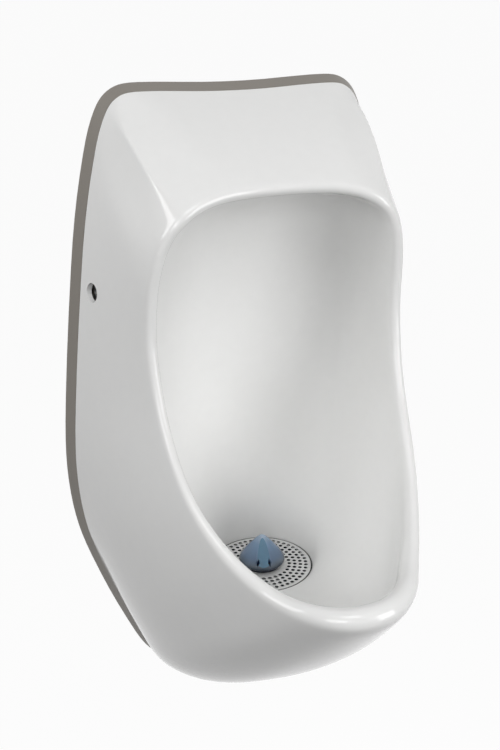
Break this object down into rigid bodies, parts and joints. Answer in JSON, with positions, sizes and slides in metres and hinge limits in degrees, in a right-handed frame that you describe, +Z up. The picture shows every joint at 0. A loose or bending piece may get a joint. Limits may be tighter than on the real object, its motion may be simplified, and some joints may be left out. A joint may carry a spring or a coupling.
{
  "type": "wall-hung urinal",
  "caption": "Wall-hung waterless urinal: a tall rolled-lip bowl on a grey wall plate, with a lift-out trap cartridge, strainer and drain.",
  "frame": {"origin": "middle of the wall plate's back face, on the wall", "axes": "+X to the viewer's right, +Y into the wall, +Z up"},
  "size_m": [0.3976, 0.3586, 0.7011],
  "materials": {
    "shell_white": "glossy white moulding",
    "plate_grey": "satin warm grey",
    "gasket_dark": "matt dark rubber",
    "steel": "plain zinc-plated steel",
    "bracket_grey": "plain grey moulding",
    "cup_black": "dark satin plastic",
    "screw_steel": "bright stainless steel",
    "disc_white": "glossy white moulding",
    "cone_blue": "translucent grey-blue",
    "collar_dark": "dark blue-black",
    "block_blue": "matt pressed block",
    "trap_white": "satin white plastic",
    "float_grey": "satin light grey",
    "valve_clear": "soft pale silicone",
    "drain_grey": "satin grey pipe plastic"
  },
  "bodies": {
    "bowl": {"wall_plate": "plate_grey", "edge_gasket": "gasket_dark", "bowl_shell": "shell_white", "hanger_rail": "steel", "lock_lug_left": "bracket_grey", "lock_lug_right": "bracket_grey", "screw_cup_left": "cup_black", "screw_cup_right": "cup_black", "side_screw_left": "screw_steel", "side_screw_right": "screw_steel", "sump_gasket": "gasket_dark", "drain_sump": "drain_grey", "flange_clamp": "steel", "outlet_pipe": "drain_grey", "pipe_coupling": "gasket_dark", "wall_seal": "gasket_dark"},
    "trap": {"strainer_disc": "disc_white", "disc_seal_ring": "gasket_dark", "trap_cone": "cone_blue", "cone_collar": "collar_dark", "care_block": "block_blue", "trap_cup": "trap_white", "cup_oring": "gasket_dark", "outlet_valve": "valve_clear"},
    "float": {"float_bell": "float_grey"}
  },
  "joints": [
    {"name": "trap_lift", "type": "slide", "parent": "bowl", "child": "trap", "axis": [0, 0, 1], "range_m": [0, 0.12]},
    {"name": "float_rise", "type": "slide", "parent": "trap", "child": "float", "axis": [0, 0, 1], "range_m": [0, 0.007]}
  ]
}
